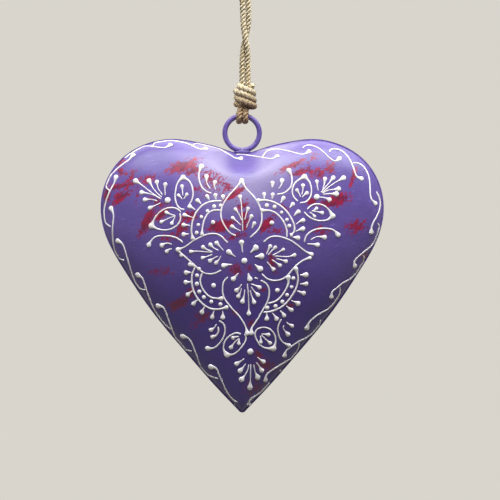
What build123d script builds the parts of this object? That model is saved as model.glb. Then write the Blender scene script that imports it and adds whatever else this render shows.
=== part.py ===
from build123d import *
import os
from math import cos, exp, hypot, pi, radians, sin, sqrt, tan

# A hollow pressed-iron heart with a wire ring, hung from a doubled length of jute twine.
# Millimetres, +Z up, and the painted front faces -Y. The origin is the top of the nail that
# the twine's eye hangs on, so the whole ornament is below it.

os.makedirs("parts", exist_ok=True)

# Heart
heart_width = 178.0
heart_height = 172.0
shell_depth = 23.0
sheet_thickness = 0.6
seam_width = 0.8
seam_thickness = 1.4
tip_radius = 2.6
flank_lean_deg = 42.0

# Hollow under the cleft, where the two lobes part
hollow_half_width = 16.5
hollow_reach = 11.0
hollow_share = 0.29

# Hanging ring
ring_outer_diameter = 25.0
ring_wire_diameter = 3.3
ring_joint_gap = 0.4
ring_seat_gap = 0.05

# Weld that holds the ring on the heart's edge
weld_length = 10.5
weld_diameter = 4.0
weld_end_diameter = 0.6
weld_rise = 0.45

# Twine
twine_diameter = 3.0
strand_gap = 0.3
soft_gap = 0.3
leg_drop = 77.0

# Knot
wrap_count = 2.9
wrap_gap = 0.8
wrap_clearance = 0.15
wrap_start_deg = 240.0
neck_height = 3.0
knot_offset = 1.8
cut_end_length = 4.2
cut_end_turn_deg = -20.0

# Hitch round the ring
hitch_wire_gap = 0.35
hitch_rise = 3.55

twine_radius = twine_diameter / 2
ring_wire_radius = ring_wire_diameter / 2
ring_radius = ring_outer_diameter / 2 - ring_wire_radius
strand_spacing = twine_diameter + strand_gap

# In the knot the two hanging strands stand side by side and the two worked ends lie before
# and behind them, and the winding goes round all four
end_offset = sqrt(strand_spacing**2 - (strand_spacing / 2) ** 2)
wrap_radius = end_offset + twine_radius + wrap_clearance + twine_radius
wrap_pitch = twine_diameter + wrap_gap
wrap_end_fall = twine_diameter * wrap_pitch / (2 * pi * wrap_radius)

# Heights, from the nail down
neck_top_z = -leg_drop - soft_gap
wrap_top_z = neck_top_z - neck_height - twine_radius
wrap_bottom_z = wrap_top_z - wrap_count * wrap_pitch
knot_bottom_z = wrap_bottom_z - twine_radius - wrap_end_fall
hitch_top_z = knot_bottom_z - soft_gap
ring_top_z = hitch_top_z - hitch_rise
ring_center_z = ring_top_z - ring_radius
cleft_z = ring_center_z - ring_outer_diameter / 2 - ring_seat_gap


# Heart

# Edge of the right half, from the cleft round the lobe to the tip, as shares of the
# half width and, up from the tip, of the height
outline_shares = [
    (0.0, 0.949),
    (0.155, 0.968),
    (0.33, 0.990),
    (0.50, 1.0),
    (0.69, 0.980),
    (0.84, 0.934),
    (0.94, 0.870),
    (1.0, 0.757),
    (0.96, 0.641),
    (0.84, 0.526),
    (0.65, 0.379),
    (0.37, 0.203),
    (0.12, 0.058),
]
cleft_share = outline_shares[0][1]
tip_z = cleft_z - cleft_share * heart_height

# Crown of the dome and the oval that the contours near it follow
crown_share = 0.683
oval_width_share = 0.72
oval_height_share = 0.66
dome_power = 0.54
crown = Vector(0, 0, tip_z + crown_share * heart_height)
oval_half_width = oval_width_share * heart_width / 2
oval_half_height = oval_height_share * heart_height / 2

edge_steps = 20
contour_levels = [1, 0.985, 0.95, 0.89, 0.80, 0.68, 0.54, 0.38, 0.22, 0.09, 0]
offset_step = 1e-3


def heart_outline():
    """Edge of the right half: a curve through the outline's points, then the blunt tip's arc."""
    points = [
        Vector(x * heart_width / 2, 0, tip_z + z * heart_height)
        for x, z in outline_shares
    ]
    lean = radians(flank_lean_deg)
    flank = Vector(-sin(lean), 0, -cos(lean))
    arc_start = Vector(tip_radius * cos(lean), 0, tip_z + tip_radius - tip_radius * sin(lean))
    side = Spline(points + [arc_start], tangents=[Vector(1, 0, 0), flank])
    tip = TangentArc(arc_start, Vector(0, 0, tip_z), tangent=flank)
    return Wire([side.edge(), tip.edge()])


outline = heart_outline()


def rim_point(along):
    """Point of the shell's rim at a share of the outline's length, inside the seam."""
    run = along * outline.length
    point = outline.position_at(run, position_mode=PositionMode.LENGTH)
    tangent = outline.tangent_at(run, position_mode=PositionMode.LENGTH)
    outward = Vector(-tangent.Z, 0, tangent.X)
    return point - outward * seam_width


def dome_point(rim, level):
    """Point of the dome on the ray from the crown to a rim point; level is 1 at the rim, 0 at the crown.

    The contour is level times a mix of the heart's reach and the oval's, and the height is
    depth * (1 - level^2)^power, less the hollow under the cleft.
    """
    ray = rim - crown
    reach = ray.length
    oval_reach = 1 / hypot(ray.X / reach / oval_half_width, ray.Z / reach / oval_half_height)
    out = level * (level * reach + (1 - level) * oval_reach)
    x = ray.X / reach * out
    z = crown.Z + ray.Z / reach * out
    away = (x / hollow_half_width) ** 2 + ((z - cleft_z) / hollow_reach) ** 2
    hollow = 1 - hollow_share * exp(-(away**2))
    return Vector(x, -shell_depth * (1 - level**2) ** dome_power * hollow, z)


def outside(along, level):
    """Point of the shell's outer face."""
    return dome_point(rim_point(along), level)


def inside(along, level):
    """Point of the shell's inner face: the outer one moved inward square to the sheet."""
    if level == 0:
        return Vector(0, -shell_depth + sheet_thickness, crown.Z)
    slope_level = min(level, 1 - offset_step)
    before = dome_point(rim_point(max(along - offset_step, 0)), slope_level)
    after = dome_point(rim_point(min(along + offset_step, 1)), slope_level)
    rim = rim_point(along)
    down = dome_point(rim, slope_level - offset_step / 2) - dome_point(rim, slope_level)
    inward = (after - before).cross(down).normalized()
    point = dome_point(rim, level) + inward * sheet_thickness
    if along in (0, 1):
        point.X = 0
    if level == 1:
        point.Y = 0
    return point


def dome(point_at):
    """Solid between the seam's plane and a domed face, and its flat base."""
    grid = []
    for count in range(edge_steps + 1):
        step = count / edge_steps
        along = step**2 * (3 - 2 * step)
        grid.append([point_at(along, level) for level in contour_levels])
    right = Face.make_surface_from_array_of_points(grid)
    rim = right.edges().sort_by(Axis.Y)[-1]
    base = Face(Wire([rim, rim.mirror(Plane.YZ)]))
    return Solid(Shell([right, right.mirror(Plane.YZ), base])), base


def heart_shells():
    """Front and back pressings, alike but mirrored."""
    outer, base = dome(outside)
    inner, _ = dome(inside)
    front = outer - inner
    return front, front.mirror(Plane.XZ), outer, base


def heart_plate():
    """Flat plate as thick as the seam, with the whole heart's outline."""
    halves = outline.edges() + outline.mirror(Plane.YZ).edges()
    front = Face(Wire(halves)).moved(Location((0, -seam_thickness / 2, 0)))
    return Solid.extrude(front, Vector(0, seam_thickness, 0))


def edge_seam(base):
    """Flat bead round the edge, where the two pressings are joined."""
    front = base.moved(Location((0, -seam_thickness / 2, 0)))
    return heart_plate() - Solid.extrude(front, Vector(0, seam_thickness, 0))


# Ring and its weld


def wire_ring():
    """Ring of round wire, its two ends butted at the bottom."""
    ring_plane = Plane(origin=(0, 0, ring_center_z), z_dir=(0, 1, 0))
    ring = ring_plane * Torus(ring_radius, ring_wire_radius)
    joint = Pos(0, 0, ring_center_z - ring_radius) * Box(
        ring_joint_gap, ring_wire_diameter * 2, ring_wire_diameter * 2
    )
    return ring - joint


def ring_bead(ring, front_dome):
    """Blunt spindle of weld between the ring and the heart's edge, and in the ring's joint."""
    blunt_length = weld_length * sqrt(1 - (weld_end_diameter / weld_diameter) ** 2)
    upper = Pos(0, weld_diameter / 2) * Rectangle(blunt_length, weld_diameter)
    half_oval = Ellipse(weld_length / 2, weld_diameter / 2) & upper
    spindle = revolve(Plane.XZ * half_oval, Axis.X)
    lump = Pos(0, 0, cleft_z + weld_rise) * spindle
    return lump - ring - heart_plate() - front_dome - front_dome.mirror(Plane.XZ)


# Twine

# Route of the doubled twine from the nail down: height, sideways place and turn of the
# pair about its own line. At 270 degrees the first strand crosses in front.
twin_route = [
    (-22.0, 1.6, 180),
    (-31.0, 2.2, 182),
    (-39.0, 2.3, 192),
    (-44.5, 2.2, 228),
    (-50.0, 2.0, 270),
    (-55.5, 1.9, 312),
    (-61.5, 1.8, 348),
    (-69.5, 1.7, 358),
    (-77.0, 1.8, 360),
]
twin_radius = 1.75

# Left half of the eye over the nail, sideways place and height
eye_route = [(-2.1, 1.5), (-4.8, -1.7)]


def tube(path, diameter):
    """Round solid along a path."""
    start = Plane(origin=path @ 0, z_dir=path % 0)
    return sweep(start * Circle(diameter / 2), path=path)


def smooth_path(points):
    """Straight runs joined by arcs as large as the runs allow."""
    radii = []
    for before, here, after in zip(points, points[1:], points[2:]):
        turn = (here - before).get_angle(after - here)
        run = min((here - before).length, (after - here).length)
        radii.append(0.45 * run / tan(radians(turn) / 2))
    print("twine arcs", [round(radius, 1) for radius in radii])
    return FilletPolyline(*points, radius=radii)


def hanging_path():
    """Up one strand, over the nail and down the other."""
    first = []
    second = []
    for z, x, turn in twin_route:
        swing = Vector(cos(radians(turn)), sin(radians(turn)), 0) * twin_radius
        first.append(Vector(x, 0, z) + swing)
        second.append(Vector(x, 0, z) - swing)
    left = [Vector(x, 0, z) for x, z in eye_route]
    right = [Vector(-x, 0, z) for x, z in eye_route]
    return smooth_path(list(reversed(first)) + list(reversed(left)) + right + second)


def knot_strands():
    """Straight strands that the knot is wound round."""
    neck = neck_top_z - knot_bottom_z
    body = wrap_top_z + twine_radius - knot_bottom_z
    strands = []
    for x, y, height in (
        (-strand_spacing / 2, 0, neck),
        (strand_spacing / 2, 0, neck),
        (0, -end_offset, body),
        (0, end_offset, body),
    ):
        strand = Solid.make_cylinder(
            twine_radius, height, Plane(origin=(knot_offset + x, y, knot_bottom_z))
        )
        strands.append(strand)
    return strands


def wrap_point(turn_deg):
    """Place and direction on the winding, turning anticlockwise seen from above as it goes down."""
    angle = radians(wrap_start_deg + turn_deg)
    fall = wrap_pitch / (2 * pi)
    place = Vector(
        knot_offset + wrap_radius * cos(angle),
        wrap_radius * sin(angle),
        wrap_top_z - wrap_pitch * turn_deg / 360,
    )
    direction = Vector(-wrap_radius * sin(angle), wrap_radius * cos(angle), -fall)
    return place, direction.normalized()


def biarc(start, start_direction, end, end_direction):
    """Two arcs, tangent to each other, from one place and direction to another."""
    chord = end - start
    both = start_direction + end_direction
    square = both.dot(both) - 4
    middle = chord.dot(both)
    reach = (middle - sqrt(middle**2 - square * chord.dot(chord))) / square
    meeting = (start + start_direction * reach + end - end_direction * reach) / 2
    meeting_direction = (end - end_direction * reach - start - start_direction * reach).normalized()
    return [
        TangentArc(start, meeting, tangent=start_direction).edge(),
        TangentArc(meeting, end, tangent=meeting_direction).edge(),
    ]


def knot_winding():
    """The wraps of the knot as one tube, with straight ends."""
    count = round(wrap_count * 4)
    stops = [wrap_point(wrap_count * 360 * step / count) for step in range(count + 1)]
    first, first_direction = stops[0]
    last, last_direction = stops[-1]
    edges = [Line(first - first_direction * twine_diameter, first).edge()]
    for (start, start_direction), (end, end_direction) in zip(stops, stops[1:]):
        edges += biarc(start, start_direction, end, end_direction)
    edges.append(Line(last, last + last_direction * twine_diameter).edge())
    path = Wire(edges)
    print_least_gap(path)
    return tube(path, twine_diameter)


def print_least_gap(path):
    """Measures the least gap between turns that lie at least half a turn apart."""
    samples = 400
    points = [path @ (step / samples) for step in range(samples + 1)]
    apart = pi * wrap_radius
    skip = round(samples * apart / path.length)
    least = min(
        (points[i] - points[j]).length
        for i in range(len(points))
        for j in range(i + skip, len(points))
    )
    print("winding's least gap to itself", round(least - twine_diameter, 3))


def cut_end():
    """Short cut end of the twine, lying on the first wrap at the right of the neck."""
    place, _ = wrap_point(360 - wrap_start_deg + cut_end_turn_deg)
    lean = radians(cut_end_turn_deg)
    start = Vector(
        knot_offset + strand_spacing / 2 + twine_radius + soft_gap,
        0,
        place.Z + twine_diameter + wrap_clearance,
    )
    along = Vector(cos(lean), sin(lean), 0)
    return Solid.make_cylinder(twine_radius, cut_end_length, Plane(origin=start, z_dir=along))


hitch_radius = ring_wire_radius + hitch_wire_gap + twine_radius


def hitch_loop(side):
    """One of the two bends of twine that go under the ring's wire."""
    x = side * strand_spacing / 2
    wire_z = ring_center_z + sqrt(ring_radius**2 - x**2)
    front = Vector(x, -hitch_radius, wire_z)
    bottom = Vector(x, 0, wire_z - hitch_radius)
    back = Vector(x, hitch_radius, wire_z)
    down = Line(Vector(front.X, front.Y, hitch_top_z), front)
    under = ThreePointArc(front, bottom, back)
    up = Line(back, Vector(back.X, back.Y, hitch_top_z))
    return tube(Wire([down.edge(), under.edge(), up.edge()]), twine_diameter)


front_shell, back_shell, outer_dome, dome_base = heart_shells()
hanging_ring = wire_ring()
hanging_route = hanging_path()
hanging_loop = tube(hanging_route, twine_diameter)
print(
    "hanging twine, length",
    round(hanging_route.length, 2),
    "volume over section times length",
    round(hanging_loop.volume / (pi * twine_radius**2 * hanging_route.length), 4),
)

pieces = {
    "front_shell": front_shell,
    "back_shell": back_shell,
    "seam_bead": edge_seam(dome_base),
    "hanging_ring": hanging_ring,
    "ring_weld": ring_bead(hanging_ring, outer_dome),
    "hanging_loop": hanging_loop,
    "knot_strands": Compound(knot_strands()),
    "knot_winding": knot_winding(),
    "twine_cut_end": cut_end(),
    "left_hitch_loop": hitch_loop(-1),
    "right_hitch_loop": hitch_loop(1),
}

for name, piece in pieces.items():
    export_step(piece, f"parts/{name}.step")
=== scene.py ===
import bpy
import numpy as np
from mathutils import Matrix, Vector


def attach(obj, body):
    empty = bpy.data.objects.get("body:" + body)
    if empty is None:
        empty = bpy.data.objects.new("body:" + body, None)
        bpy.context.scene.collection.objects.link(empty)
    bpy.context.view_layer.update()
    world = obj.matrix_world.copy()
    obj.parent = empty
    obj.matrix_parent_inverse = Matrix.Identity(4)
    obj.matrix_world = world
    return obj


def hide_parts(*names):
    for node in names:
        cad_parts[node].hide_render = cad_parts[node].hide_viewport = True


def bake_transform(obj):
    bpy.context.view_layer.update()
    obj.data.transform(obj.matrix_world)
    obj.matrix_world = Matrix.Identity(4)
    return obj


# Dress of a hollow pressed-iron heart: purple brushed over red, piped in cream with a flower,
# arches, leaves and a rim vine, and hung by its wire ring from a doubled jute twine.
# Metres, +Z up, the painted front faces -Y, and the nail's top is the origin.

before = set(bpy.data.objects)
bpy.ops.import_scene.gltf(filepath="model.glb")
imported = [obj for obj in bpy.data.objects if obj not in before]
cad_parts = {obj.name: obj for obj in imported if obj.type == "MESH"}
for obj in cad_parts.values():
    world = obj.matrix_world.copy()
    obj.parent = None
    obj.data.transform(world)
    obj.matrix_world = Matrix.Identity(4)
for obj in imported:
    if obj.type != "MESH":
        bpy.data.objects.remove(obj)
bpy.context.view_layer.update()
MM = 0.001


# Finishes

SMOOTH = {"interpolation_type": "SMOOTHSTEP"}
LARGEST = {"operation": "MAXIMUM"}
TIMES_PLUS = {"operation": "MULTIPLY_ADD"}
COLOURS = {"data_type": "RGBA"}
# Heights in metres between which painted shade darkens the enamel towards the tip, and painted shade darkens
# the jute down the knot
PAINTED_TIP_SHADE_HEIGHTS = (-0.160, -0.225)
PAINTED_KNOT_SHADE_HEIGHTS = (-0.081, -0.094)
# Bottom of the hollow under the cleft, and how far from it the painted sheen, a pale painted reflection of
# the sky, starts, is full, and has faded out
HOLLOW_BOTTOM = (0.0, 0.0, -0.128)
PAINTED_SHEEN_FROM, PAINTED_SHEEN_FULL, PAINTED_SHEEN_END = 0.005, 0.015, 0.044


def linear(hex_colour):
    """sRGB hex to linear RGBA."""
    parts = np.array([int(hex_colour[i : i + 2], 16) for i in (1, 3, 5)]) / 255
    low = parts / 12.92
    high = ((parts + 0.055) / 1.055) ** 2.4
    return (*np.where(parts <= 0.04045, low, high), 1.0)


def add_node(tree, kind, settings=None, **links):
    """Adds a shader node, sets its properties, and fills each input with a value, a hex colour or a link."""
    node = tree.nodes.new("ShaderNode" + kind)
    for name, value in (settings or {}).items():
        setattr(node, name, value)
    for name, value in links.items():
        place = int(name[1:]) if name[1:].isdigit() else name.replace("_", " ")
        if isinstance(value, bpy.types.NodeSocket):
            tree.links.new(value, node.inputs[place])
        else:
            node.inputs[place].default_value = linear(value) if isinstance(value, str) else value
    return node


def new_finish(name):
    """An empty material with its surface shader and output."""
    finish = bpy.data.materials.new(name)
    finish.use_nodes = True
    tree = finish.node_tree
    tree.nodes.clear()
    surface = add_node(tree, "BsdfPrincipled")
    add_node(tree, "OutputMaterial", Surface=surface.outputs["BSDF"])
    return finish, tree, surface


def grain(tree, size_mm, detail=2.0, roughness=0.5, lean_deg=0.0):
    """Noise round 0.5 with lumps of size_mm, one number or one along each axis, leant in the face's plane."""
    where = add_node(tree, "TexCoord").outputs["Object"]
    lumps = Vector(size_mm if isinstance(size_mm, tuple) else (size_mm,) * 3) * MM
    lean = (0.0, -np.radians(lean_deg), 0.0)
    place = add_node(
        tree, "Mapping", {"vector_type": "TEXTURE"}, Vector=where, Rotation=lean, Scale=lumps
    ).outputs["Vector"]
    node = add_node(tree, "TexNoise", Vector=place, Scale=1.0, Detail=detail, Roughness=roughness)
    return node.outputs["Fac"]


def coated(tree, colour, coats):
    """Colour with coats laid over it one by one.

    Each coat is a pattern, the values at which it starts and is full, its full strength and its colour.
    """
    for pattern, start, full, strength, coat in coats:
        span = {"From_Min": start, "From_Max": full, "To_Max": strength}
        shown = add_node(tree, "MapRange", SMOOTH, Value=pattern, **span).outputs["Result"]
        colour = add_node(tree, "Mix", COLOURS, _0=shown, _6=colour, _7=coat).outputs[2]
    return colour


def summed(tree, start, *parts):
    """The start plus each pattern times its weight."""
    for pattern, weight in parts:
        start = add_node(tree, "Math", TIMES_PLUS, _0=pattern, _1=weight, _2=start).outputs["Value"]
    return start


def raised(tree, surface, heights):
    """Bump from several heights in millimetres, each a pair of a value and its full height."""
    normal = None
    for value, height in heights:
        links = {"Height": value, "Distance": height * MM}
        if normal is not None:
            links["Normal"] = normal
        normal = add_node(tree, "Bump", **links).outputs["Normal"]
    tree.links.new(normal, surface.inputs["Normal"])


def brushed_enamel(name, worn):
    """Oil enamel brushed on pressed iron over a red first coat: satin and cloudy, with painted shade
    darkening it towards the tip.

    Where it was dragged off, the red shows in slanting ragged streaks with a dust of flecks round them,
    and a painted sheen, a pale painted reflection of the sky, lies round the hollow under the cleft, whose
    bottom it leaves clear.
    """
    finish, tree, surface = new_finish(name)
    clouds = grain(tree, 26, 3)
    fine = grain(tree, 2.2, 3, 0.6)
    specks = grain(tree, 0.85, 1)
    # The brush's marks, under half a millimetre apart on such paint, are drawn coarse enough to show
    brushing = grain(tree, (9.0, 2.4, 1.3), 3, 0.6, lean_deg=8)
    where = add_node(tree, "TexCoord").outputs["Object"]
    height = add_node(tree, "SeparateXYZ", Vector=where).outputs["Z"]
    violet = [
        (clouds, 0.3, 0.7, 1.0, "#685398"),
        (brushing, 0.55, 0.8, 1.0, "#7864ad"),
        # painted shade: the enamel darkens towards the tip, standing in for light from above falling off
        (height, *PAINTED_TIP_SHADE_HEIGHTS, 0.9, "#321e69"),
        (specks, 0.70, 0.73, 1.0, "#3a1c4c"),
    ]
    colour = coated(tree, "#59468a", violet)
    if worn:
        rub = add_node(tree, "Attribute", {"attribute_name": "rubbed"}).outputs["Fac"]
        streaks = grain(tree, (7.0, 3.0, 2.0), 6, 0.78, lean_deg=40)
        dust = grain(tree, 1.5, 3, 0.75)
        edge = summed(tree, -2.5, (rub, 1.0), (streaks, 3.4), (dust, 1.6))
        flecked = summed(tree, -2.51, (rub, 1.0), (streaks, 1.02), (dust, 4.0))
        in_face = add_node(tree, "VectorMath", {"operation": "MULTIPLY"}, _0=where, _1=(1, 0, 1)).outputs[0]
        away = add_node(tree, "VectorMath", {"operation": "DISTANCE"}, _0=in_face, _1=HOLLOW_BOTTOM)
        away = away.outputs["Value"]
        fades = [(away, PAINTED_SHEEN_FROM, PAINTED_SHEEN_FULL, 0.3), (rub, 0.01, 0.16, 1.0), (rub, 0.10, 0.25, 1.0)]
        clear, faint, strong = (
            add_node(tree, "MapRange", SMOOTH, _0=value, _1=low, _2=high, _4=most).outputs["Result"]
            for value, low, high, most in fades
        )
        # painted shade: the showing red also darkens towards the tip
        red = [(streaks, 0.42, 0.62, 1.0, "#9c0638"), (height, *PAINTED_TIP_SHADE_HEIGHTS, 0.7, "#400430")]
        worn_coats = [
            # painted sheen: a pale painted reflection of the sky round the hollow under the cleft
            (away, PAINTED_SHEEN_END, PAINTED_SHEEN_FULL, clear, "#c4bac4"),
            (flecked, 0.60, 0.66, faint, "#7a0a50"),
            (edge, 0.47, 0.52, strong, coated(tree, "#5e0436", red)),
        ]
        colour = coated(tree, colour, worn_coats)
    tree.links.new(colour, surface.inputs["Base Color"])
    tree.links.new(summed(tree, 0.28, (fine, 0.16)), surface.inputs["Roughness"])
    surface.inputs["Specular IOR Level"].default_value = 0.5
    raised(tree, surface, [(clouds, 0.10), (brushing, 0.03), (specks, 0.02)])
    return finish


def piped_paste():
    """Cream acrylic paste squeezed from a cone: rounded, slightly glossy, with a dusty tooth."""
    finish, tree, surface = new_finish("cream_piped_paste")
    tone = grain(tree, 7, 2)
    soil = grain(tree, 0.8, 3, 0.6)
    colour = coated(tree, "#ebe3db", [(tone, 0.3, 0.7, 1.0, "#faf6f0"), (soil, 0.58, 0.85, 1.0, "#bfb0a6")])
    tree.links.new(colour, surface.inputs["Base Color"])
    surface.inputs["Roughness"].default_value = 0.55
    raised(tree, surface, [(soil, 0.05)])
    return finish


def jute(name):
    """Dry twisted jute: pale straw fibres along each ply, with painted shade in the grooves and down the
    knot.
    """
    finish, tree, surface = new_finish(name)
    # Jute's fibres, about a tenth of a millimetre thick, are drawn four times as wide, so that they show
    lay = add_node(tree, "UVMap", {"uv_map": "lay"}).outputs["UV"]
    along = add_node(tree, "Mapping", Vector=lay, Scale=(1.0, 9.0, 1.0)).outputs["Vector"]
    flat = {"noise_dimensions": "2D"}
    fibres = add_node(tree, "TexNoise", flat, Vector=along, Scale=1.3, Detail=4.0, Roughness=0.7)
    fibres = fibres.outputs["Fac"]
    patch = grain(tree, 3.2, 2)
    where = add_node(tree, "TexCoord").outputs["Object"]
    height = add_node(tree, "SeparateXYZ", Vector=where).outputs["Z"]
    groove = add_node(tree, "Attribute", {"attribute_name": "groove"}).outputs["Fac"]
    straw = [
        (fibres, 0.3, 0.62, 1.0, "#e3d9bb"),
        (patch, 0.35, 0.75, 1.0, "#c7b388"),
        # painted shade: darker down the knot's lower half and on the hitch under it
        (height, *PAINTED_KNOT_SHADE_HEIGHTS, 0.7, "#9c7853"),
        # painted shade: darker deep in the grooves between the plies
        (groove, 0.62, 1.0, 0.75, "#8a6c45"),
    ]
    tree.links.new(coated(tree, "#a38b60", straw), surface.inputs["Base Color"])
    surface.inputs["Roughness"].default_value = 0.9
    surface.inputs["Specular IOR Level"].default_value = 0.2
    raised(tree, surface, [(fibres, 0.22), (patch, 0.1)])
    return finish


def pale_paper(name, hex_colour):
    """Matt paper that shows its own colour whatever the light, a little of which still carries shadows."""
    finish, tree, surface = new_finish(name)
    where = add_node(tree, "TexCoord").outputs["Object"]
    mottle = add_node(tree, "TexNoise", Vector=where, Scale=3.0).outputs["Fac"]
    shade = add_node(tree, "Mix", COLOURS, _0=mottle, _6="#6b6862", _7="#726f69").outputs[2]
    tree.links.new(shade, surface.inputs["Base Color"])
    surface.inputs["Roughness"].default_value = 0.95
    surface.inputs["Emission Color"].default_value = linear(hex_colour)
    tree.links.new(summed(tree, 0.0, (seen_straight(tree), 0.9)), surface.inputs["Emission Strength"])
    return finish


def seen_straight(tree):
    """1 for what the camera, a mirror or glass shows, 0 for what only gives light."""
    path = add_node(tree, "LightPath").outputs
    seen = path["Is Camera Ray"]
    for ray in ("Is Glossy Ray", "Is Transmission Ray"):
        seen = add_node(tree, "Math", LARGEST, _0=seen, _1=path[ray]).outputs["Value"]
    return seen


# Meshes


def linked(name, data):
    """A new object of the scene that shows the data."""
    item = bpy.data.objects.new(name, data)
    bpy.context.scene.collection.objects.link(item)
    return item


def add_piece(name, points, faces, finish, slot, body=None, node=None):
    """Smooth piece of points in mm and faces. It rides on a body and stands for a node, where given."""
    mesh = bpy.data.meshes.new(name)
    mesh.from_pydata(points * MM, [], faces)
    mesh.polygons.foreach_set("use_smooth", np.ones(len(mesh.polygons), bool))
    mesh.materials.append(finish)
    piece = linked(name, mesh)
    if body:
        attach(piece, body)
    if node:
        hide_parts(node)
    return piece


def mark_points(piece, name, values):
    """Gives each point of a piece a number that its finish reads."""
    mark = piece.data.attributes.new(name, "FLOAT", "POINT")
    mark.data.foreach_set("value", values.astype(np.float32))


def unit(rows):
    """Rows turned to length 1."""
    return rows / np.linalg.norm(rows, axis=-1)[..., None]


def closed_grid(points, first_pole, last_pole):
    """Quads of a grid that is closed round its columns, with a fan to a pole at each end.

    Returns the points, the faces as index rows, and for each face corner its grid row and column.
    """
    rows, columns = points.shape[:2]
    index = np.arange(rows * columns).reshape(rows, columns)
    row, column = np.meshgrid(np.arange(rows - 1), np.arange(columns), indexing="ij")
    after = (column + 1) % columns
    quads = np.stack(
        [index[row, column], index[row, after], index[row + 1, after], index[row + 1, column]], -1
    ).reshape(-1, 4)
    quad_rows = np.stack([row, row, row + 1, row + 1], -1).reshape(-1, 4)
    quad_columns = np.stack([column, column + 1, column + 1, column], -1).reshape(-1, 4)
    pole = rows * columns
    one = np.arange(columns)
    two = (one + 1) % columns
    first = np.stack([np.full(columns, pole), index[0, two], index[0, one]], -1)
    last = np.stack([np.full(columns, pole + 1), index[-1, one], index[-1, two]], -1)
    everything = np.vstack([points.reshape(-1, 3), first_pole, last_pole])
    corners = everything[quads]
    inside = np.einsum("ij,ij->", corners[:, 0], np.cross(corners[:, 1], corners[:, 2]))
    inside += np.einsum("ij,ij->", corners[:, 0], np.cross(corners[:, 2], corners[:, 3]))
    if inside < 0:
        quads, quad_rows, quad_columns = quads[:, ::-1], quad_rows[:, ::-1], quad_columns[:, ::-1]
        first, last = first[:, ::-1], last[:, ::-1]
    return everything, quads, np.vstack([first, last]), quad_rows, quad_columns


def joined(parts):
    """Points and faces of several closed grids, each as closed_grid gives it, for one mesh."""
    faces, offset = [], 0
    for found, quads, fans, _, _ in parts:
        faces += (quads + offset).tolist() + (fans + offset).tolist()
        offset += len(found)
    return np.vstack([part[0] for part in parts]), faces


def steady_frames(path):
    """Tangent, side and up along a path, the side carried on without turning about the path."""
    tangent = unit(np.gradient(path, axis=0))
    side = np.zeros_like(path)
    guess = np.array([0.0, 1.0, 0.0]) if abs(tangent[0, 1]) < 0.9 else np.array([1.0, 0.0, 0.0])
    for step, direction in enumerate(tangent):
        guess = unit(guess - direction * (guess @ direction))
        side[step] = guess
    return tangent, side, np.cross(tangent, side)


def run_along(path):
    """How far along a path each of its points lies."""
    return np.concatenate([[0], np.cumsum(np.linalg.norm(np.diff(path, axis=0), axis=1))])


def even_steps(path, step, fewest=4):
    """The same path with points a step apart, and how far along each lies."""
    run = run_along(path)
    along = np.linspace(0, run[-1], max(int(run[-1] / step), fewest) + 1)
    return np.stack([np.interp(along, run, values) for values in path.T], -1), along


def smooth_route(points, per_span=14):
    """Points on the quadratic NURBS line that a route's control points give."""
    curve = bpy.data.curves.new("route", "CURVE")
    curve.dimensions = "3D"
    curve.resolution_u = per_span
    spline = curve.splines.new("NURBS")
    spline.points.add(len(points) - 1)
    flat = np.hstack([np.array(points, float), np.ones((len(points), 1))])
    spline.points.foreach_set("co", flat.ravel())
    spline.order_u = 3
    spline.use_endpoint_u = True
    holder = linked("route", curve)
    bpy.context.view_layer.update()
    line = bpy.data.meshes.new_from_object(holder)
    found = np.empty((len(line.vertices), 3), np.float32)
    line.vertices.foreach_get("co", found.ravel())
    bpy.data.objects.remove(holder)
    bpy.data.meshes.remove(line)
    return found.astype(float)


# Twine

TWINE = 3.0
FLUFFY_TWINE = 3.75
PLIES = 3
PLY_TURN = 7.8
PLY_SHARE = 0.272
AROUND = 30
WAVER = 0.04
FIBRE_RADIUS = 0.045
FIBRE_LENGTHS = (1.2, 3.6)
FIBRE_RISES = (0.25, 0.6)
FIBRE_STRAY = 0.25


def twine_surface(path, diameter=FLUFFY_TWINE, step=0.34, tuck=0.0, flatten=1.0, rounded=0.0):
    """Surface of a twine of three plies along a path.

    Its section is the outline of three touching circles, radius from the middle
    ply_offset cos(a) + sqrt(ply_radius^2 - ply_offset^2 sin(a)^2), where a is the angle from the nearest
    ply's middle, drawn towards a plain circle by the share rounded. It turns once in PLY_TURN mm.
    Returns the grid, the two poles, the run along the path and how deep in a groove each point lies.
    """
    path, along = even_steps(path, step)
    _, side, up = steady_frames(path)
    ply_radius = diameter * PLY_SHARE
    ply_offset = diameter / 2 - ply_radius
    around = np.arange(AROUND) * 2 * np.pi / AROUND
    turn = along * 2 * np.pi / PLY_TURN
    sector = 2 * np.pi / PLIES
    angle = (around + sector / 2) % sector - sector / 2
    plied = ply_offset * np.cos(angle) + np.sqrt(ply_radius**2 - (ply_offset * np.sin(angle)) ** 2)
    out = (1 - rounded) * plied[None, :] + rounded * diameter / 2
    groove = np.abs(angle) / (sector / 2) * (1 - 0.5 * rounded)
    waver = np.sin(along[:, None] * 1.9 + 3 * around[None, :]) * np.sin(along[:, None] * 0.83 + 1.3)
    ends = np.minimum(along, along[-1] - along)
    rounding = np.sqrt(np.clip(1 - (1 - np.clip(ends / (diameter * 0.3), 0, 1)) ** 2, 0.02, 1))
    out = out * (1 + WAVER * waver) * (1 - tuck + tuck * rounding[:, None])
    facing = (around[None, :] - turn[:, None])[..., None]
    across = np.cos(facing) * side[:, None, :] * flatten - np.sin(facing) * up[:, None, :] / flatten
    grid = path[:, None, :] + out[..., None] * across
    return grid, path[0], path[-1], along, np.broadcast_to(groove, grid.shape[:2])


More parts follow.
